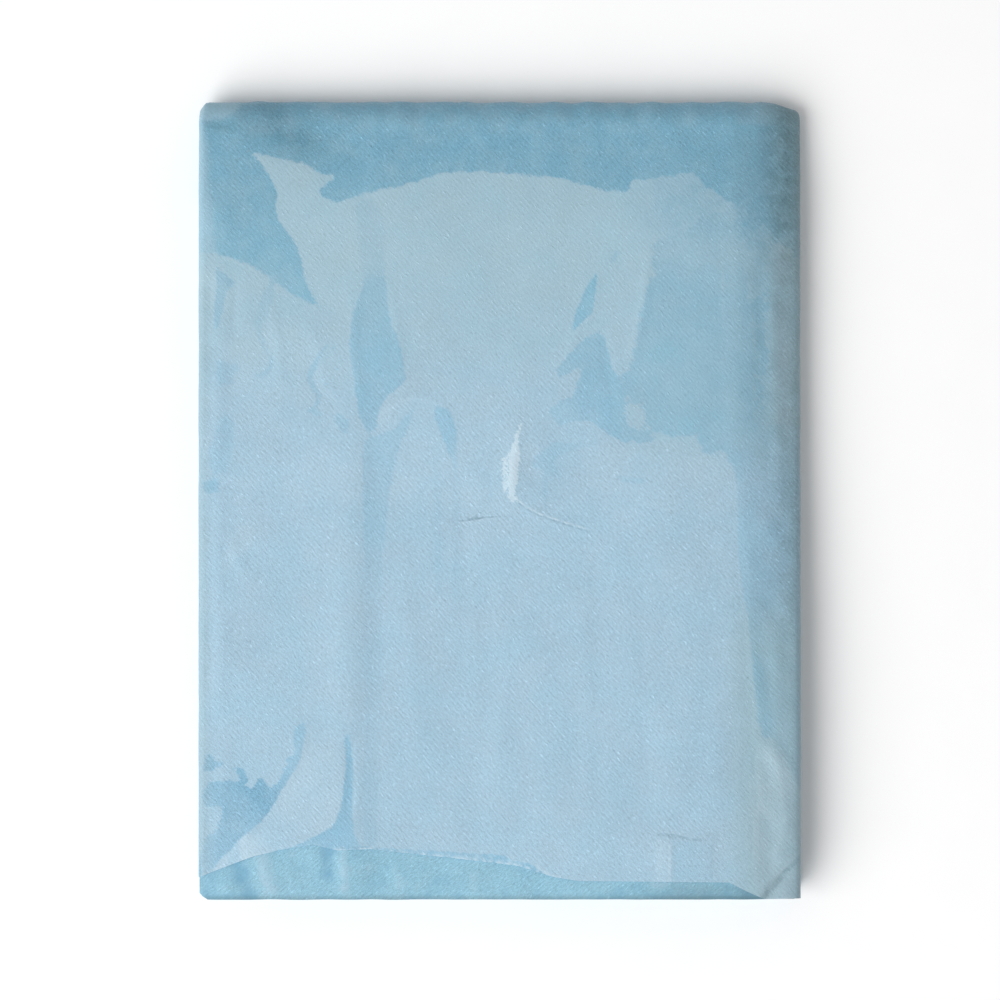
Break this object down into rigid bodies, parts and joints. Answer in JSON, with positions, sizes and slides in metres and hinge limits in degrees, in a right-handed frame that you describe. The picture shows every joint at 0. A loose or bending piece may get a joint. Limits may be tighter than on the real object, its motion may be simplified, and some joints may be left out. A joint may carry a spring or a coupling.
{
  "type": "folded surgical gown",
  "caption": "Thin blue embossed protective gown folded flat to a soft rectangle, with a slanting cut hem over an inner ply, rounded fold edges and layered sides.",
  "frame": {"origin": "centre of the bounding box, on the surface that the folded gown rests on", "axes": "+Z up, out of the flat top face; +Y to the outer cross fold, away from the cut hem; +X to the right of the top face, seen with +Y up"},
  "size_m": [0.24, 0.318, 0.0233],
  "materials": {
    "outer_cloth": "light blue thin embossed cloth, slightly see-through, soft sheen",
    "inner_cloth": "inside face of the same cloth, a deeper blue",
    "tie_cloth": "same cloth, folded to a flat tie",
    "layered_cloth": "edges of many thin plies, light blue"
  },
  "bodies": {
    "root": {"front_panel": "outer_cloth", "back_panel": "inner_cloth", "tie_end": "tie_cloth", "folded_layers": "layered_cloth"}
  },
  "joints": []
}
